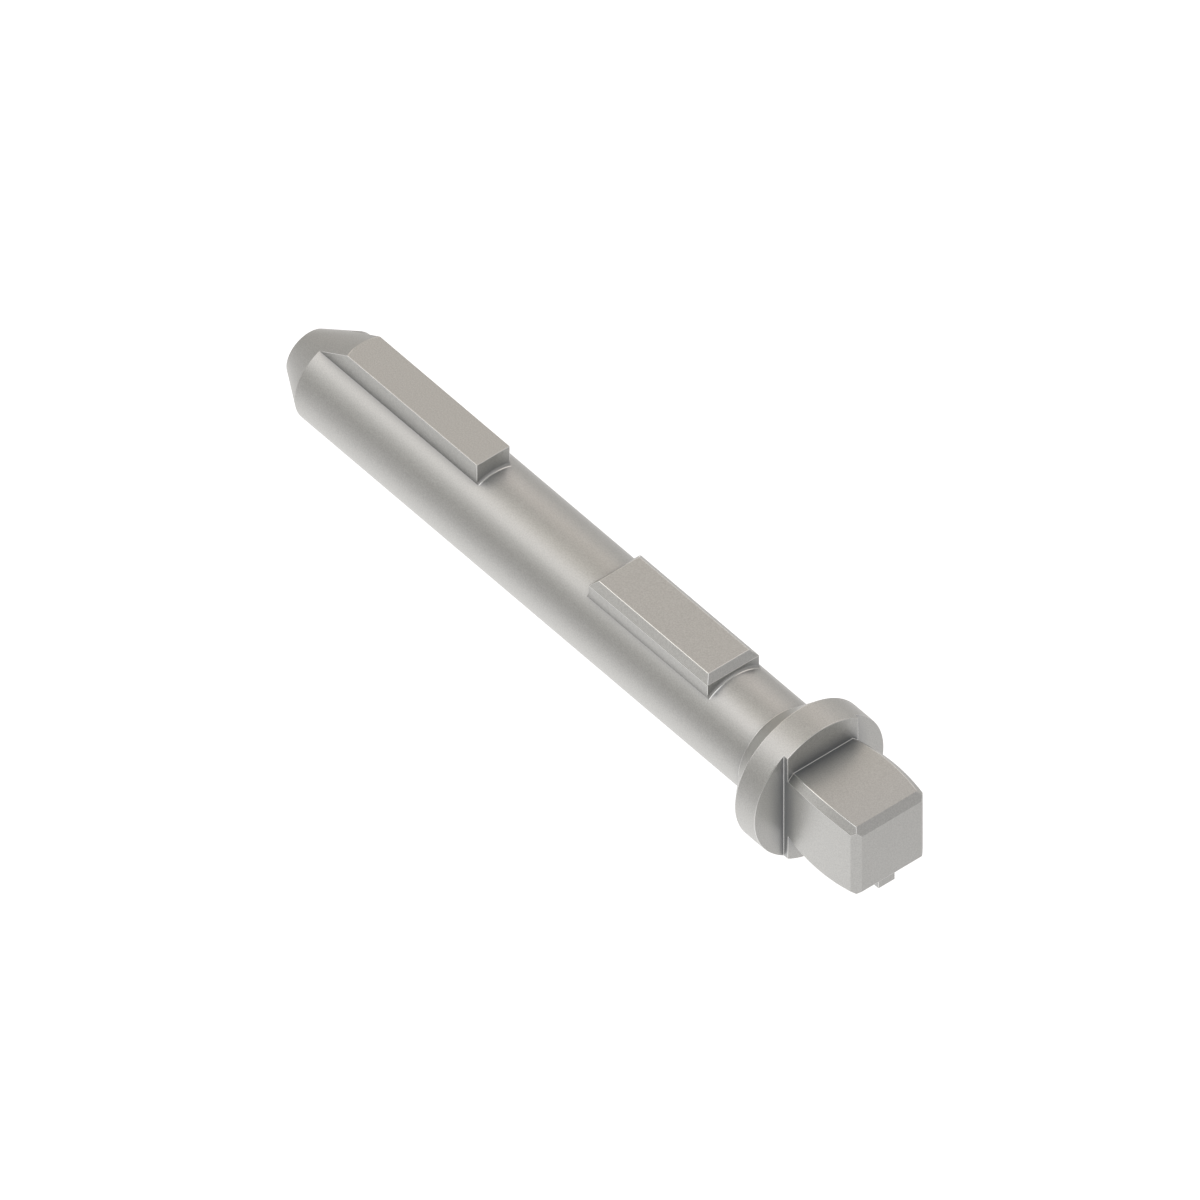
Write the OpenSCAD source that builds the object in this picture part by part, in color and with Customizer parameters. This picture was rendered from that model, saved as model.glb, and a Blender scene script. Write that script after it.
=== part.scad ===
// Sensor drive shaft, turned and milled as one piece. The origin lies on the shaft's axis, in the
// front face of the flange. +X points along the axis to the drive head, and +Z points up through
// the two keys.

/* [Shaft] */
// Diameter of the shaft
shaft_d = 7; // [6:0.1:8.5]
// Length from the flat tip to the front face of the flange
shaft_length = 51.9; // [48:0.1:80]
// Diameter of the flat end of the tip
tip_d = 3.8; // [1:0.1:5]
// Angle of the tip's cone to the shaft's axis, in degrees
tip_angle = 30; // [20:1:60]

/* [Narrow key] */
// Width of the narrow key, whose outer end is cut by the tip's cone
narrow_key_w = 2.8; // [1:0.05:4]
// Height of the narrow key above the top of the shaft
narrow_key_h = 1.45; // [0.6:0.05:3]
// Length from the flat tip to the end face of the narrow key
narrow_key_end = 18.8; // [12:0.1:22]

/* [Wide key] */
// Width of the wide key
wide_key_w = 4.4; // [2.5:0.05:5.5]
// Height of the wide key above the top of the shaft
wide_key_h = 0.85; // [0.6:0.05:2]
// Length of the wide key
wide_key_length = 12.1; // [5:0.1:14]
// Clear length of shaft between the wide key and the flange's cone
wide_key_gap = 4.7; // [2:0.1:6]
// Chamfer round the top of the wide key
wide_key_chamfer = 0.48; // [0.2:0.01:0.55]

/* [Key fillets] */
// Radius of the fillet at the foot of each key's end face
key_fillet = 0.25; // [0.1:0.01:0.5]

/* [Flange] */
// Diameter of the flange
flange_d = 11; // [10.5:0.1:16]
// Width of the flange's rim
rim_w = 2; // [1:0.1:4]
// Angle of the cone behind the rim to the shaft's axis, in degrees
flange_angle = 45; // [35:1:70]
// Height of the band that crosses the flange's front face
band_h = 0.4; // [0.2:0.05:1]

/* [Drive head] */
// Width across the head's flats at the flange, and width of the band
head_w = 6; // [4:0.1:7]
// Length of the head
head_length = 7; // [5:0.1:12]
// Height of the crown on each flat, at half the head's length
head_crown = 0.28; // [0.1:0.01:0.5]
// Chamfer along the head's four long edges
head_edge_chamfer = 0.48; // [0.2:0.01:0.8]
// Chamfer round the head's front face
head_nose_chamfer = 0.45; // [0.2:0.01:0.8]

/* [Locating rib] */
// Width of the rib along the underside of the head
rib_w = 1.4; // [0.6:0.05:3]
// Depth of the rib below the edge of the head's flat
rib_h = 0.85; // [0.6:0.05:1.4]
// Distance from the rib's front face to the head's front face
rib_setback = 0.5; // [0.2:0.05:1.5]

/* [Hidden] */
$fn = 96;
shaft_r = shaft_d / 2;
tip_r = tip_d / 2;
flange_r = flange_d / 2;
head_half = head_w / 2;
// How far one form runs into the next, so that the two join as one solid
joint = 0.3;
tip_x = -shaft_length;
flange_cone_back = -rim_w - (flange_r - shaft_r) / tan(flange_angle);
narrow_key_front = tip_x + narrow_key_end;
wide_key_front = flange_cone_back - wide_key_gap;
wide_key_back = wide_key_front - wide_key_length;
narrow_key_top = shaft_r + narrow_key_h;
wide_key_top = shaft_r + wide_key_h;
// Radius and length at which the tip's cone has cleared the narrow key's corners
cone_reach = norm([narrow_key_top, narrow_key_w / 2]) + joint;
cone_length = (cone_reach - tip_r) / tan(tip_angle);
// Width of the plates that the head is cut from, clear of its corners
plate_w = 3 * head_w;

// Lays a profile drawn as [radius, distance along the axis] round the shaft's axis.
module turned() {
    rotate([0, 90, 0]) rotate_extrude() children();
}

// Plain shaft and the flange with the cone behind its rim, before the tip is turned.
module turned_body() {
    turned() polygon([
        [0, tip_x],
        [shaft_r, tip_x],
        [shaft_r, flange_cone_back],
        [flange_r, -rim_w],
        [flange_r, 0],
        [0, 0]
    ]);
}

module narrow_key() {
    translate([tip_x, -narrow_key_w / 2, 0]) cube([narrow_key_end, narrow_key_w, narrow_key_top]);
}

// What turning the tip takes away, from the shaft and from the narrow key alike.
module tip_cut() {
    turned() polygon([
        [tip_r, tip_x],
        [cone_reach, tip_x + cone_length],
        [cone_reach, tip_x - joint],
        [tip_r, tip_x - joint]
    ]);
}

module shaft_with_narrow_key() {
    difference() {
        union() {
            turned_body();
            narrow_key();
        }
        tip_cut();
    }
}

// Block with its top edges chamfered along both sides and at both ends.
module wide_key() {
    c = wide_key_chamfer;
    half = wide_key_w / 2;
    intersection() {
        translate([wide_key_back, 0, 0]) rotate([90, 0, 90]) linear_extrude(wide_key_length) polygon([
            [-half, 0], [half, 0], [half, wide_key_top - c],
            [half - c, wide_key_top], [c - half, wide_key_top], [-half, wide_key_top - c]
        ]);
        translate([0, half, 0]) rotate([90, 0, 0]) linear_extrude(wide_key_w) polygon([
            [wide_key_back, 0], [wide_key_front, 0], [wide_key_front, wide_key_top - c],
            [wide_key_front - c, wide_key_top], [wide_key_back + c, wide_key_top],
            [wide_key_back, wide_key_top - c]
        ]);
    }
}

// Fillet from a key's end face at x down to the shaft, on the side that way points to.
module end_fillet(x, way, width) {
    r = key_fillet;
    reach = joint + r;
    intersection() {
        turned() difference() {
            translate([shaft_r - joint, way > 0 ? x - joint : x - r]) square(reach);
            translate([shaft_r + r, x + way * r]) circle(r);
        }
        translate([x - reach, -width / 2, 0]) cube([2 * reach, width, shaft_r + reach]);
    }
}

// Band across the flange's front, the part of a disc between two flats.
module band() {
    depth = band_h + joint;
    intersection() {
        translate([-joint, 0, 0]) rotate([0, 90, 0]) cylinder(h = depth, r = flange_r);
        translate([-joint, -head_half, -flange_r]) cube([depth, head_w, flange_d]);
    }
}

// Plate along the head whose two faces are arcs. It is half thick each way at the head's ends and
// bulges by crown at the middle, and nose is the chamfer at its front end.
module crowned_plate(half, crown, nose) {
    arc_r = (pow(head_length / 2, 2) + pow(crown, 2)) / (2 * crown);
    arc_centre = arc_r - half - crown;
    // The straight outline runs clear of the arcs, and only its nose cuts them.
    reach = half + crown + joint;
    nose_start = head_length - (reach - half) - nose;
    linear_extrude(plate_w, center = true) intersection() {
        polygon([
            [-joint, -reach], [nose_start, -reach], [head_length, nose - half],
            [head_length, half - nose], [nose_start, reach], [-joint, reach]
        ]);
        translate([head_length / 2, -arc_centre]) circle(arc_r);
        translate([head_length / 2, arc_centre]) circle(arc_r);
    }
}

// Square head, crowned on all four flats, with chamfered long edges and a chamfered front.
module drive_head() {
    edge_half = sqrt(2) * head_half - head_edge_chamfer / sqrt(2);
    edge_crown = sqrt(2) * head_crown;
    translate([band_h, 0, 0]) intersection() {
        crowned_plate(head_half, head_crown, head_nose_chamfer);
        rotate([90, 0, 0]) crowned_plate(head_half, head_crown, head_nose_chamfer);
        rotate([45, 0, 0]) crowned_plate(edge_half, edge_crown, 0);
        rotate([-45, 0, 0]) crowned_plate(edge_half, edge_crown, 0);
    }
}

// Rib along the underside of the head, from the band to just behind the front face.
module locating_rib() {
    translate([band_h - joint, -rib_w / 2, -head_half - rib_h])
        cube([joint + head_length - rib_setback, rib_w, head_half + rib_h]);
}

module drive_shaft() {
    color("silver") union() {
        shaft_with_narrow_key();
        wide_key();
        end_fillet(narrow_key_front, 1, narrow_key_w);
        end_fillet(wide_key_back, -1, wide_key_w);
        end_fillet(wide_key_front, 1, wide_key_w);
        band();
        drive_head();
        locating_rib();
    }
}

drive_shaft();
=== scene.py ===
import bpy
import bmesh
from math import asin, ceil, cos, hypot, pi, radians, sin, sqrt, tan
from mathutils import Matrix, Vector


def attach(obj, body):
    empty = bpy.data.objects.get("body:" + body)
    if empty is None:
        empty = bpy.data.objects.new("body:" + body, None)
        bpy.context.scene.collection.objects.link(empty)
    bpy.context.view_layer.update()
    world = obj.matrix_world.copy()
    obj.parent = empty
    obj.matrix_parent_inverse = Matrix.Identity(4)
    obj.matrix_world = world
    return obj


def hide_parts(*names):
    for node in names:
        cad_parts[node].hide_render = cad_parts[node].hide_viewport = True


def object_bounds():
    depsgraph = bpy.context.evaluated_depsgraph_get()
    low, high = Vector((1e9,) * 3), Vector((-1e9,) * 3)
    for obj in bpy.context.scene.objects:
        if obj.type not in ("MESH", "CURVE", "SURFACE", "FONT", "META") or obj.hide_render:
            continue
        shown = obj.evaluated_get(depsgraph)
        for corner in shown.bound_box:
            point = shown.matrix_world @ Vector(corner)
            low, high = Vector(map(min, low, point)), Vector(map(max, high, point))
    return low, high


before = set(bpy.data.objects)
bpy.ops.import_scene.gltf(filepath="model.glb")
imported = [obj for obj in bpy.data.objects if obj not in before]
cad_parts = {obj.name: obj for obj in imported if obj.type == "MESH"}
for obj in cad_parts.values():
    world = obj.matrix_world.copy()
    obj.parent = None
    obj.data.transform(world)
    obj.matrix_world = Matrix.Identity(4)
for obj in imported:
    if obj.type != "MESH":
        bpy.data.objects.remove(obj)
cadLow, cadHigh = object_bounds()
mm = 0.001
slack = 1e-6    # left when two angles or two distances are compared


def startMesh():
    mesh = bmesh.new()
    return {"mesh": mesh, "spots": {}, "mark": mesh.edges.layers.int.new("crisp")}


def spot(draft, place):    # one vertex for each place, so that faces that touch there share it
    key = tuple(round(c, 4) for c in place)
    if key not in draft["spots"]:
        draft["spots"][key] = draft["mesh"].verts.new(Vector(place) * mm)
    return draft["spots"][key]


def face(draft, places):
    return draft["mesh"].faces.new([spot(draft, p) for p in places])


def grid(draft, rows, material=0):
    for lower, upper in zip(rows, rows[1:]):
        for i in range(len(lower) - 1):
            made = face(draft, [lower[i], lower[i + 1], upper[i + 1], upper[i]])
            made.material_index = material


def keepCrisp(draft, places):    # edges that the rounding leaves alone
    for a, b in zip(places, places[1:]):
        edge = draft["mesh"].edges.get([spot(draft, a), spot(draft, b)])
        edge[draft["mark"]] = 1


# Lengths in mm, angles in degrees. x runs along the axis to the head, z up through the keys,
# and the ends and the rim of the part come from the frame.
shaft = {
    "tipX": cadLow.x / mm,
    "frontX": cadHigh.x / mm,
    "tipRadius": 1.9,
    "tipAngle": 30,
    "radius": 3.5,
    "rimRadius": cadHigh.y / mm,
    "rimWidth": 2.0,
    "coneAngle": 45,
    "columnStep": 3,       # at most, between two lines drawn along the shaft
}
narrowKey = {"width": 2.8, "height": 1.45, "length": 18.8, "tipRows": 6}
wideKey = {"width": 4.4, "height": 0.85, "length": 12.1, "gap": 4.7, "chamfer": 0.48}
# One strip of each foot fillet, counted from the end face, gets the painted highlight
keyFoot = {"radius": 0.25, "rows": 5, "paintedHighlightRow": 3}
band = {"width": 6.0, "height": 0.4}
head = {"crown": 0.28, "edgeChamfer": 0.48, "noseChamfer": 0.45, "rows": 20}
rib = {"width": 1.4, "depth": 0.85}

# Stations along the axis, and half widths and angles across it, worked out once from these sizes
narrowHalf = narrowKey["width"] / 2
wideHalf = wideKey["width"] / 2
bandHalf = band["width"] / 2
ribHalf = rib["width"] / 2
noseHalf = bandHalf - head["noseChamfer"]
narrowTop = shaft["radius"] + narrowKey["height"]
wideTop = shaft["radius"] + wideKey["height"]
ribZ = -bandHalf - rib["depth"]
narrowAngle = asin(narrowHalf / shaft["radius"])
wideAngle = asin(wideHalf / shaft["radius"])
bandAngle = asin(bandHalf / shaft["rimRadius"])
tipEnd = shaft["tipX"] + (shaft["radius"] - shaft["tipRadius"]) / tan(radians(shaft["tipAngle"]))
rimStep = shaft["rimRadius"] - shaft["radius"]
coneStart = -shaft["rimWidth"] - rimStep / tan(radians(shaft["coneAngle"]))
narrowEnd = shaft["tipX"] + narrowKey["length"]
wideFront = coneStart - wideKey["gap"]
wideBack = wideFront - wideKey["length"]
neckX = band["height"]


def findColumns():    # from straight up, both ways round, with a line at each wall of a key or of the band
    marks = [0, narrowAngle, bandAngle, wideAngle, pi - bandAngle, pi]
    half = [0]
    for start, end in zip(marks, marks[1:]):
        steps = ceil((end - start) / radians(shaft["columnStep"]))
        half += [start + (end - start) * (i + 1) / steps for i in range(steps)]
    return [-a for a in reversed(half[1:-1])] + half


columns = findColumns()


def around(x, radius, angles):
    return [(x, radius * sin(a), radius * cos(a)) for a in angles]


def onShaft(x, y, radius):
    return (x, y, sqrt(radius ** 2 - y ** 2))


def turnShaft(draft):
    foot = keyFoot["radius"]
    stations = [
        (shaft["tipX"], shaft["tipRadius"]), (tipEnd, shaft["radius"]),
        (narrowEnd, shaft["radius"]), (narrowEnd + foot, shaft["radius"]),
        (wideBack - foot, shaft["radius"]), (wideBack, shaft["radius"]),
        (wideFront, shaft["radius"]), (wideFront + foot, shaft["radius"]),
        (coneStart, shaft["radius"]), (-shaft["rimWidth"], shaft["rimRadius"]),
        (0, shaft["rimRadius"]), (neckX, shaft["rimRadius"]),
    ]
    underNarrow = (tipEnd, narrowEnd + foot, narrowAngle)
    underWide = (wideBack - foot, wideFront + foot, wideAngle)
    for (x0, r0), (x1, r1) in zip(stations, stations[1:]):
        near, far = around(x0, r0, columns), around(x1, r1, columns)
        for i, angle in enumerate(columns):
            before = columns[i - 1] if i else columns[-1] - 2 * pi
            middle = abs((angle + before) / 2)
            covered = any(start <= x0 and x1 <= end and middle < reach
                          for start, end, reach in (underNarrow, underWide))
            besideBand = x0 == 0 and bandAngle < middle < pi - bandAngle
            if not covered and not besideBand:
                face(draft, [near[i - 1], near[i], far[i], far[i - 1]])
    face(draft, around(shaft["tipX"], shaft["tipRadius"], columns))
    for side in (1, -1):    # the flange's front, on each side of the band
        rim = [a for a in columns if bandAngle - slack < side * a < pi - bandAngle + slack]
        face(draft, around(0, shaft["rimRadius"], rim))
    print("shaft turned:", len(columns), "columns")


def columnsWithin(half):    # distances from the middle of the columns that a key covers
    found = [shaft["radius"] * sin(a) for a in columns if abs(a) < pi / 2]
    return [y for y in found if abs(y) <= half + slack]


def keyFootRows(x, way, across):    # fillet from an end face at x down to the shaft
    r = keyFoot["radius"]
    rows = []
    for i in range(keyFoot["rows"] + 1):
        turn = i * pi / 2 / keyFoot["rows"]
        out = shaft["radius"] + r - r * sin(turn)
        rows.append([onShaft(x + way * r * (1 - cos(turn)), y, out) for y in across])
    return rows


def millKeyEnd(draft, x, way, across, upper):    # end face, fillet and the fillet's two flush sides
    rows = keyFootRows(x, way, across)
    highlightRow = keyFoot["paintedHighlightRow"]
    grid(draft, rows[:highlightRow + 1])
    grid(draft, rows[highlightRow:highlightRow + 2], 1)    # one strip of the fillet takes the lighter edge colour, a painted highlight
    grid(draft, rows[highlightRow + 1:])
    face(draft, rows[0] + upper)
    for column in (0, -1):
        curve = [row[column] for row in rows]
        below = onShaft(x, across[column], shaft["radius"])
        face(draft, curve + [below])
        keepCrisp(draft, curve)
        keepCrisp(draft, [curve[-1], below])
    return rows[0]


def onCone(y, z):    # the point of the tip's cone at y and z
    return (shaft["tipX"] + (hypot(y, z) - shaft["tipRadius"]) / tan(radians(shaft["tipAngle"])), y, z)


def millNarrowKey(draft):
    across = columnsWithin(narrowHalf)
    starts = [sqrt(shaft["radius"] ** 2 - y ** 2) for y in across]
    rows = []
    for i in range(narrowKey["tipRows"] + 1):
        share = i / narrowKey["tipRows"]
        rows.append([onCone(y, z + (narrowTop - z) * share) for y, z in zip(across, starts)])
    grid(draft, rows)
    corners = [(narrowEnd, narrowHalf, narrowTop), (narrowEnd, -narrowHalf, narrowTop)]
    face(draft, rows[-1] + corners)
    foot = millKeyEnd(draft, narrowEnd, 1, across, corners)
    for column, corner in ((0, corners[1]), (-1, corners[0])):    # the key's two long walls
        below = onShaft(narrowEnd, across[column], shaft["radius"])
        face(draft, [row[column] for row in rows] + [corner, foot[column], below])
        keepCrisp(draft, [rows[0][column], below])
    print("narrow key milled")


def millWideKey(draft):
    across = columnsWithin(wideHalf)
    c = wideKey["chamfer"]
    x0, x1, y, z = wideBack, wideFront, wideHalf, wideTop
    top = [(x0 + c, c - y, z), (x1 - c, c - y, z), (x1 - c, y - c, z), (x0 + c, y - c, z)]
    shoulder = [(x0, -y, z - c), (x1, -y, z - c), (x1, y, z - c), (x0, y, z - c)]
    face(draft, top)
    for i in range(4):
        face(draft, [shoulder[i - 1], shoulder[i], top[i], top[i - 1]])
    back = millKeyEnd(draft, x0, -1, across, [shoulder[3], shoulder[0]])
    front = millKeyEnd(draft, x1, 1, across, [shoulder[2], shoulder[1]])
    for column, ends in ((0, (shoulder[0], shoulder[1])), (-1, (shoulder[3], shoulder[2]))):
        footBack = onShaft(x0, across[column], shaft["radius"])
        footFront = onShaft(x1, across[column], shaft["radius"])
        face(draft, [footBack, back[column], ends[0], ends[1], front[column], footFront])
        keepCrisp(draft, [footBack, footFront])
    print("wide key milled")


def crownHalf(x):    # half the head's width at x, on the arc of its crown
    length = shaft["frontX"] - neckX
    arc = ((length / 2) ** 2 + head["crown"] ** 2) / (2 * head["crown"])
    return bandHalf + sqrt(arc ** 2 - (x - neckX - length / 2) ** 2) - (arc - head["crown"])


def noseMeets(drop):    # where the chamfer round the front face reaches the crowned flats, less drop
    back, front = neckX, shaft["frontX"]
    halvings = 40
    for i in range(halvings):
        middle = (back + front) / 2
        if noseHalf + shaft["frontX"] - middle > crownHalf(middle) - drop:
            back = middle
        else:
            front = middle
    return middle


noseX = noseMeets(0)
meetX = noseMeets(head["edgeChamfer"] / 2)
headStations = [neckX + (noseX - neckX) * i / head["rows"] for i in range(head["rows"] + 1)]


def turned(x, y, z, angle):    # a point carried round the axis, from the top towards +Y
    return (x, y * cos(angle) + z * sin(angle), z * cos(angle) - y * sin(angle))


def flatPoints(x, turn, across):    # on one flat of the head, where 1 and -1 stand for its edges
    h = crownHalf(x)
    places = [a * (h - head["edgeChamfer"]) if abs(a) == 1 else a for a in across]
    return [turned(x, y, h, turn) for y in places]


def meeting(angle):    # the corner where three chamfers meet
    h = crownHalf(meetX) - head["edgeChamfer"] / 2
    return turned(meetX, h, h, angle)


def corner(angle):    # of the front face
    return turned(shaft["frontX"], noseHalf, noseHalf, angle)


def millHead(draft):
    turns = [i * pi / 2 for i in range(4)]    # top, right, bottom and left
    for i, turn in enumerate(turns):
        underneath = i == 2
        marks = [-1, -ribHalf, ribHalf, 1] if underneath else [-1, 1]
        for part in (marks[:2], marks[2:]):    # the rib covers the middle of the flat underneath
            if part:
                grid(draft, [flatPoints(x, turn, part) for x in headStations])
        after, before = turn + pi / 2, turn - pi / 2
        grid(draft, [[flatPoints(x, turn, [1])[0], flatPoints(x, after, [-1])[0]] for x in headStations])
        noseLine = flatPoints(noseX, turn, marks)
        face(draft, noseLine + [meeting(turn), corner(turn), corner(before), meeting(before)])
        if not underneath:    # the chamfer round the front stays crisp elsewhere
            keepCrisp(draft, noseLine)
            keepCrisp(draft, [corner(turn), corner(before)])
        face(draft, [flatPoints(noseX, turn, [1])[0], flatPoints(noseX, after, [-1])[0], meeting(turn)])
    face(draft, [corner(turn) for turn in turns])
    print("head milled:", len(headStations), "stations")


def millRib(draft):
    for y in (-ribHalf, ribHalf):
        along = [(x, y, -crownHalf(x)) for x in headStations]
        face(draft, along + [(noseX, y, ribZ), (neckX, y, ribZ)])
    front = [(noseX, -ribHalf, ribZ), (noseX, ribHalf, ribZ)]
    face(draft, [(neckX, -ribHalf, ribZ), (neckX, ribHalf, ribZ), front[1], front[0]])
    face(draft, front + [(noseX, ribHalf, -crownHalf(noseX)), (noseX, -ribHalf, -crownHalf(noseX))])
    print("rib milled")


def millBand(draft):
    r, x, c, y = shaft["rimRadius"], neckX, head["edgeChamfer"], bandHalf
    rimZ = r * cos(bandAngle)
    above = around(x, r, [a for a in columns if abs(a) <= bandAngle + slack])
    face(draft, above + [(x, y, y - c), (x, y - c, y), (x, c - y, y), (x, -y, y - c)])
    under = [a % (2 * pi) for a in columns if abs(a) >= pi - bandAngle - slack]
    below = around(x, r, sorted(under))
    notch = [(x, -ribHalf, -y), (x, -ribHalf, ribZ), (x, ribHalf, ribZ), (x, ribHalf, -y)]
    face(draft, below + [(x, -y, c - y), (x, c - y, -y)] + notch + [(x, y - c, -y), (x, y, c - y)])
    for wall in (y, -y):
        front = [(x, wall, z) for z in (rimZ, y - c, c - y, -rimZ)]
        face(draft, front + [(0, wall, -rimZ), (0, wall, rimZ)])
    print("band milled")


def addPiece(name, mesh):
    piece = bpy.data.objects.new(name, mesh)
    bpy.context.scene.collection.objects.link(piece)
    return piece


softEdge = {
    "radius": 0.04,      # mm, as the blasting leaves an edge
    "segments": 2,
    "rounded": 31,       # degrees between two faces, above which their edge is rounded
    "sharp": 24,         # degrees, below which it is only shaded smooth
}


def makeDriveShaft(materials):
    draft = startMesh()
    turnShaft(draft)
    millNarrowKey(draft)
    millWideKey(draft)
    millBand(draft)
    millHead(draft)
    millRib(draft)
    mesh = draft["mesh"]
    bmesh.ops.recalc_face_normals(mesh, faces=mesh.faces)
    for f in mesh.faces:
        f.smooth = True
    weights = mesh.edges.layers.float.new("bevel_weight_edge")
    for edge in mesh.edges:
        angle = edge.calc_face_angle(0)
        rounded = angle > radians(softEdge["rounded"]) and not edge[draft["mark"]]
        edge[weights] = 1.0 if rounded else 0.0
        edge.smooth = rounded or angle < radians(softEdge["sharp"])
    data = bpy.data.meshes.new("driveShaft")
    mesh.to_mesh(data)
    for material in materials:
        data.materials.append(material)
    mesh.free()
    rough = addPiece("roughShaft", data)
    bevel = rough.modifiers.new("softEdges", "BEVEL")
    bevel.limit_method = "WEIGHT"
    bevel.width = softEdge["radius"] * mm
    bevel.segments = softEdge["segments"]
    bevel.use_clamp_overlap = False
    bevel.material = 1    # the lighter edge colour, a painted highlight
    bevel.harden_normals = True
    graph = bpy.context.evaluated_depsgraph_get()
    finished = bpy.data.meshes.new_from_object(rough.evaluated_get(graph), depsgraph=graph)
    bpy.data.objects.remove(rough)
    print("edges softened:", len(finished.vertices), "vertices", len(finished.polygons), "faces")
    return addPiece("driveShaftSurface", finished)


def linear(hexColor):    # sRGB hex to the linear values that a node wants
    parts = [int(hexColor[i:i + 2], 16) / 255 for i in (0, 2, 4)]
    return [c / 12.92 if c <= 0.04045 else ((c + 0.055) / 1.055) ** 2.4 for c in parts] + [1]


def addNode(tree, kind, settings, links):
    node = tree.nodes.new(kind)
    for name, value in settings.items():
        if isinstance(name, str) and hasattr(node, name):
            setattr(node, name, value)
        else:
            node.inputs[name].default_value = value
    for name, source in links.items():
        tree.links.new(source, node.inputs[name])
    return node


def newMaterial(name):
    material = bpy.data.materials.new(name)
    material.use_nodes = True
    material.node_tree.nodes.clear()
    return material, material.node_tree


# Stainless steel, turned and milled and then bead-blasted: a satin grey that spreads every highlight
# wide, with a fine dull grain. Its colour is painted darker in corners and creases, as painted shade.
blastedSteel = {
    "color": ("c4c4c1", "d6d6d3"),    # in the dimples and between them
    "colorRange": (0.35, 0.65),       # of the grit's height, from one colour to the other
    "roughness": 0.42,
    "grain": 0.06,                    # how much the dimples change the roughness
    "grainRange": (0.3, 0.7),
    "grit": 0.09,                     # mm across one dimple, where a real one is finer and wouldn't show
    "gritDetail": 2.0,
    "gritFade": 0.6,                  # of each finer layer of the grit
    "dimple": 0.004,                  # mm deep
    "dimpleStrength": 0.35,
    # the colour of the painted shade in corners and creases
    "paintedShadeColor": "a2a4a6",
    "paintedShadeReach": 1.6,               # mm from a corner, as far as the painted shade reaches
    "paintedShadeRange": (0.4, 0.95),       # of the open sky, from the painted shade's colour to the steel's own
    "creaseShadeReach": 0.5,               # mm, where the painted shade is darker again in the corner itself
    "creaseShadeDark": 0.55,
    "creaseShadeFrom": 0.5,                # of the open sky
    "openRays": 16,                   # that find how open a spot is
}
# The same steel on its edges and on one strip of each key's foot fillet, painted lighter as a painted
# highlight, and with a low roughness: a thin bright line, almost polished.
paintedEdgeHighlight = {"color": "e8e8e5", "roughness": 0.14}


def makeBlastedSteel(look):
    material, tree = newMaterial("blastedSteel")
    place = addNode(tree, "ShaderNodeTexCoord", {}, {})
    grit = addNode(tree, "ShaderNodeTexNoise",
                   {"Scale": 1 / (look["grit"] * mm), "Detail": look["gritDetail"],
                    "Roughness": look["gritFade"]},
                   {"Vector": place.outputs["Object"]})
    bump = addNode(tree, "ShaderNodeBump",
                   {"Strength": look["dimpleStrength"], "Distance": look["dimple"] * mm},
                   {"Height": grit.outputs["Fac"]})
    dull = addNode(tree, "ShaderNodeMapRange",
                   {"From Min": look["grainRange"][0], "From Max": look["grainRange"][1],
                    "To Min": look["roughness"] - look["grain"],
                    "To Max": look["roughness"] + look["grain"]},
                   {"Value": grit.outputs["Fac"]})
    # Painted shade: how little of the sky a spot sees darkens its colour towards the shade colour
    corners = addNode(tree, "ShaderNodeAmbientOcclusion",
                      {"Distance": look["paintedShadeReach"] * mm, "samples": look["openRays"]}, {})
    fleck = addNode(tree, "ShaderNodeValToRGB", {}, {"Fac": grit.outputs["Fac"]})
    for element, position, color in zip(fleck.color_ramp.elements, look["colorRange"], look["color"]):
        element.position = position
        element.color = linear(color)
    openness = addNode(tree, "ShaderNodeMapRange",
                       {"From Min": look["paintedShadeRange"][0], "From Max": look["paintedShadeRange"][1]},
                       {"Value": corners.outputs["AO"]})
    crease = addNode(tree, "ShaderNodeAmbientOcclusion",
                     {"Distance": look["creaseShadeReach"] * mm, "samples": look["openRays"]}, {})
    shallow = addNode(tree, "ShaderNodeMapRange",
                      {"From Min": look["creaseShadeFrom"], "To Min": 1 - look["creaseShadeDark"]},
                      {"Value": crease.outputs["AO"]})
    unshadedShare = addNode(tree, "ShaderNodeMath", {"operation": "MULTIPLY"},
                    {0: openness.outputs["Result"], 1: shallow.outputs["Result"]})
    # Of this node's sockets, 6 and 7 are its two colours: the painted shade's and the steel's own
    color = addNode(tree, "ShaderNodeMix", {"data_type": "RGBA", 6: linear(look["paintedShadeColor"])},
                    {0: unshadedShare.outputs[0], 7: fleck.outputs["Color"]})
    steel = addNode(tree, "ShaderNodeBsdfPrincipled", {"Metallic": 1.0},
                    {"Base Color": color.outputs[2], "Roughness": dull.outputs["Result"],
                     "Normal": bump.outputs["Normal"]})
    addNode(tree, "ShaderNodeOutputMaterial", {}, {"Surface": steel.outputs["BSDF"]})
    return material


def makeEdgeHighlight(look):
    material, tree = newMaterial("steelEdgeHighlight")
    steel = addNode(tree, "ShaderNodeBsdfPrincipled",
                    {"Base Color": linear(look["color"]), "Metallic": 1.0,
                     "Roughness": look["roughness"]}, {})
    addNode(tree, "ShaderNodeOutputMaterial", {}, {"Surface": steel.outputs["BSDF"]})
    return material


piece = makeDriveShaft([makeBlastedSteel(blastedSteel), makeEdgeHighlight(paintedEdgeHighlight)])


def direction(azimuth, elevation):    # degrees, round from -Y towards +X and above the floor
    turn, rise = radians(azimuth), radians(elevation)
    return Vector((sin(turn) * cos(rise), -cos(turn) * cos(rise), sin(rise)))


cameraSet = {
    "azimuth": 50.08, "elevation": 45.10,
    "width": 1200 / 15.33,                    # mm across the frame, from its pixels and those of one mm
    "right": -14.55, "up": 12.288,            # mm from the middle of the band's front to the frame's middle
    "away": 200,                              # mm
    "near": 1, "far": 10000,                  # mm, between which it sees
}


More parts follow.
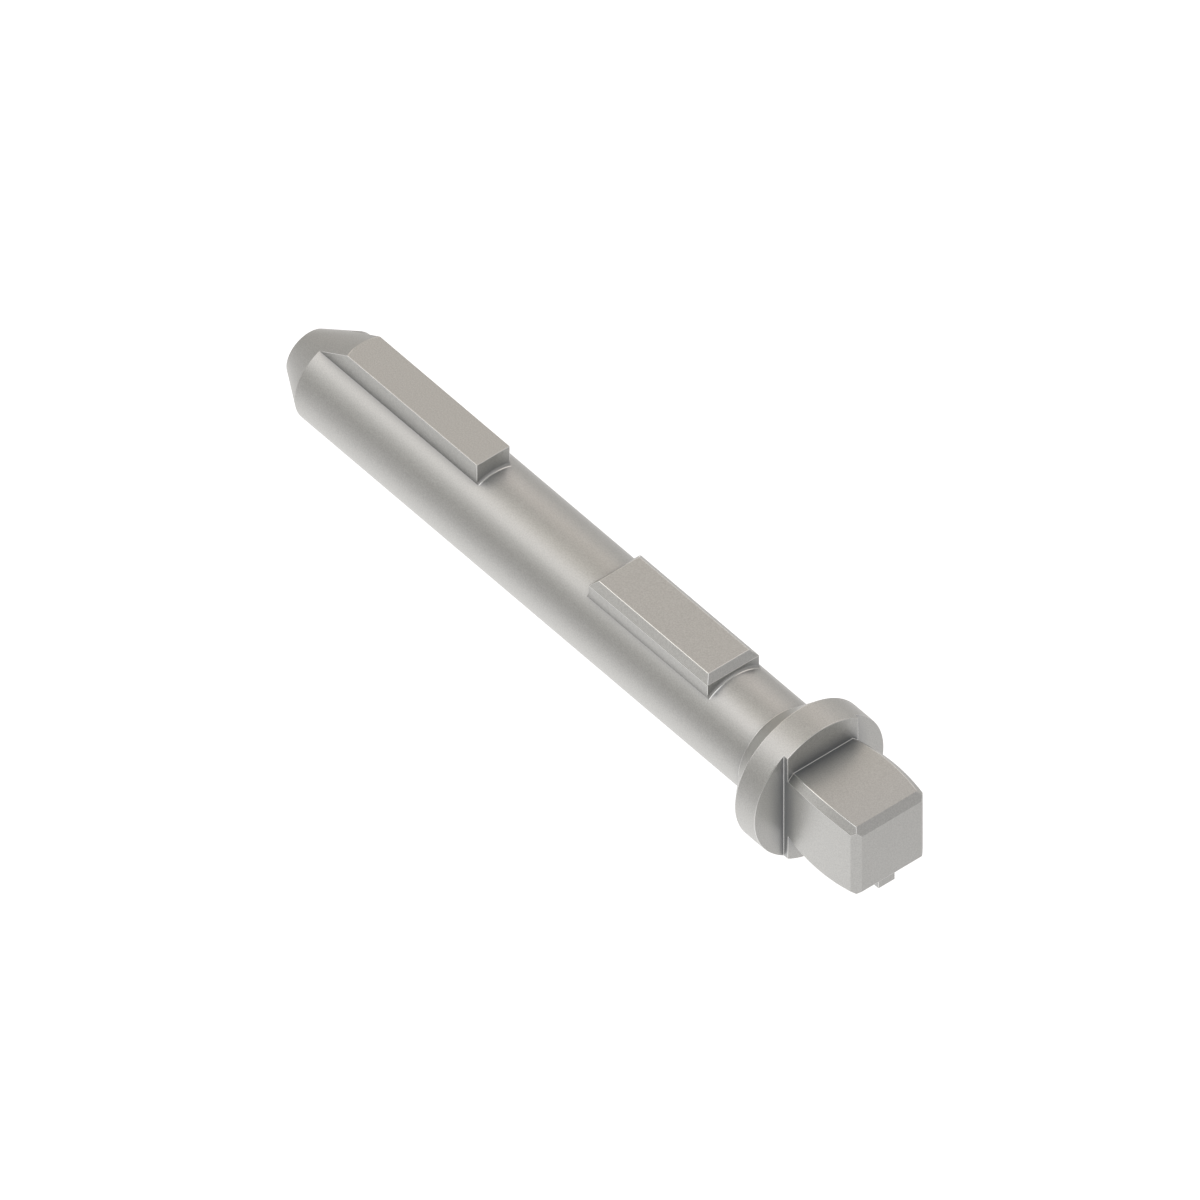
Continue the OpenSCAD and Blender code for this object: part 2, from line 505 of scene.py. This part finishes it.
def placeCamera(settings):
    back = direction(settings["azimuth"], settings["elevation"])
    turn = radians(settings["azimuth"])
    right = Vector((cos(turn), sin(turn), 0))
    camera = bpy.data.objects.new("camera", bpy.data.cameras.new("camera"))
    bpy.context.scene.collection.objects.link(camera)
    camera.data.type = "ORTHO"
    camera.data.ortho_scale = settings["width"] * mm
    camera.data.clip_start = settings["near"] * mm
    camera.data.clip_end = settings["far"] * mm
    aim = Vector((neckX, 0, 0)) + right * settings["right"] + back.cross(right) * settings["up"]
    camera.location = (aim + back * settings["away"]) * mm
    camera.rotation_euler = (-back).to_track_quat("-Z", "Y").to_euler()
    bpy.context.scene.camera = camera
    print("camera placed")


placeCamera(cameraSet)

# Soft boxes round the part: which way each stands, half its angle seen from the part, and how bright
# its face is, where 1 is white.
softBoxes = {
    "overhead": {"azimuth": 2, "elevation": 63, "halfAngle": 22, "level": 0.8, "color": "f9f9ff"},
    "overheadLeft": {"azimuth": -50, "elevation": 48, "halfAngle": 14, "level": 0.82, "color": "fffafb"},
    "leftHigh": {"azimuth": -82, "elevation": 52, "halfAngle": 14, "level": 0.42, "color": "fff5e6"},
    "left": {"azimuth": -58, "elevation": 26, "halfAngle": 18, "level": 0.49, "color": "ffffff"},
    "farLeft": {"azimuth": -118, "elevation": 30, "halfAngle": 20, "level": 0.29, "color": "ffeedc"},
    "farLeftLow": {"azimuth": -140, "elevation": 8, "halfAngle": 16, "level": 0.16, "color": "ffffff"},
    "behindLeft": {"azimuth": -165, "elevation": 42, "halfAngle": 24, "level": 0.44, "color": "fff3f1"},
    "right": {"azimuth": 110, "elevation": 40, "halfAngle": 22, "level": 0.18, "color": "eceeff"},
}
boxDistance = 900        # mm


def placeSoftBox(name, box):
    away = direction(box["azimuth"], box["elevation"])
    radius = boxDistance * tan(radians(box["halfAngle"])) * mm
    light = bpy.data.lights.new(name, "AREA")
    light.shape = "DISK"
    light.size = 2 * radius
    light.color = linear(box["color"])[:3]
    light.energy = box["level"] * pi * pi * radius ** 2    # watts for a face of that brightness
    lamp = bpy.data.objects.new(name, light)
    bpy.context.scene.collection.objects.link(lamp)
    lamp.location = away * boxDistance * mm
    lamp.rotation_euler = away.to_track_quat("Z", "Y").to_euler()
    lamp.visible_camera = False


for name, box in softBoxes.items():
    placeSoftBox(name, box)
print("soft boxes placed:", len(softBoxes))

# Matt white paper, rolled out flat: it takes a soft shadow and gives no gloss. To the camera it glows up
# to white, and only the metal sees a pool of painted light on it, a glow and no lamp, which its lower
# faces mirror.
floorPaper = {
    "below": 60, "size": 4000,                  # mm
    "color": "f2f3f5",
    "poolX": -67, "poolY": 9,                   # mm, the middle of the painted pool of light on the paper
    "poolLong": 300, "poolWide": 195,           # mm from its middle to where it ends, along and across
    "poolTurn": -50,                            # degrees, of its long way from +X
    "poolGlow": 0.5, "whiteGlow": 0.6,
}


def makePaper(paper, z):
    material, tree = newMaterial("palePaper")
    place = addNode(tree, "ShaderNodeTexCoord", {}, {})
    laid = addNode(tree, "ShaderNodeMapping",
                   {"vector_type": "TEXTURE", "Location": (paper["poolX"] * mm, paper["poolY"] * mm, z),
                    "Rotation": (0, 0, radians(paper["poolTurn"])),
                    "Scale": (paper["poolLong"] * mm, paper["poolWide"] * mm, 1)},
                   {"Vector": place.outputs["Object"]})
    away = addNode(tree, "ShaderNodeVectorMath", {"operation": "LENGTH"}, {0: laid.outputs["Vector"]})
    # Painted light: the pool glows brighter towards its middle, for the metal's reflections only
    pool = addNode(tree, "ShaderNodeMapRange",
                   {"interpolation_type": "SMOOTHSTEP", "To Min": paper["poolGlow"], "To Max": 0},
                   {"Value": away.outputs["Value"]})
    path = addNode(tree, "ShaderNodeLightPath", {}, {})
    seen = addNode(tree, "ShaderNodeMath", {"operation": "MAXIMUM"},
                   {0: path.outputs["Is Glossy Ray"], 1: path.outputs["Is Transmission Ray"]})
    glow = addNode(tree, "ShaderNodeMath", {"operation": "MULTIPLY"},
                   {0: seen.outputs[0], 1: pool.outputs["Result"]})
    white = addNode(tree, "ShaderNodeMath", {"operation": "MULTIPLY_ADD", 1: paper["whiteGlow"]},
                    {0: path.outputs["Is Camera Ray"], 2: glow.outputs[0]})
    matt = addNode(tree, "ShaderNodeBsdfDiffuse", {"Color": linear(paper["color"])}, {})
    shine = addNode(tree, "ShaderNodeEmission", {}, {"Strength": white.outputs[0]})
    both = addNode(tree, "ShaderNodeAddShader", {}, {0: matt.outputs[0], 1: shine.outputs[0]})
    addNode(tree, "ShaderNodeOutputMaterial", {}, {"Surface": both.outputs[0]})
    return material


def makeFloor(paper):
    half = paper["size"] / 2 * mm
    z = cadLow.z - paper["below"] * mm
    data = bpy.data.meshes.new("floor")
    corners = [(-half, -half, z), (half, -half, z), (half, half, z), (-half, half, z)]
    data.from_pydata(corners, [], [(0, 1, 2, 3)])
    data.materials.append(makePaper(paper, z))
    floor = addPiece("floor", data)
    print("floor laid")


makeFloor(floorPaper)

# The room is a plain mid grey, which is what the metal shows between the soft boxes.
room = {"color": "b0aeab"}


def makeRoom(look):
    world = bpy.data.worlds.new("studio")
    bpy.context.scene.world = world
    world.use_nodes = True
    world.node_tree.nodes.clear()
    dim = addNode(world.node_tree, "ShaderNodeBackground", {"Color": linear(look["color"])}, {})
    addNode(world.node_tree, "ShaderNodeOutputWorld", {}, {"Surface": dim.outputs[0]})
    print("room lit")


makeRoom(room)
bpy.context.scene.view_settings.view_transform = "Standard"

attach(piece, "root")
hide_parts("drive_shaft")
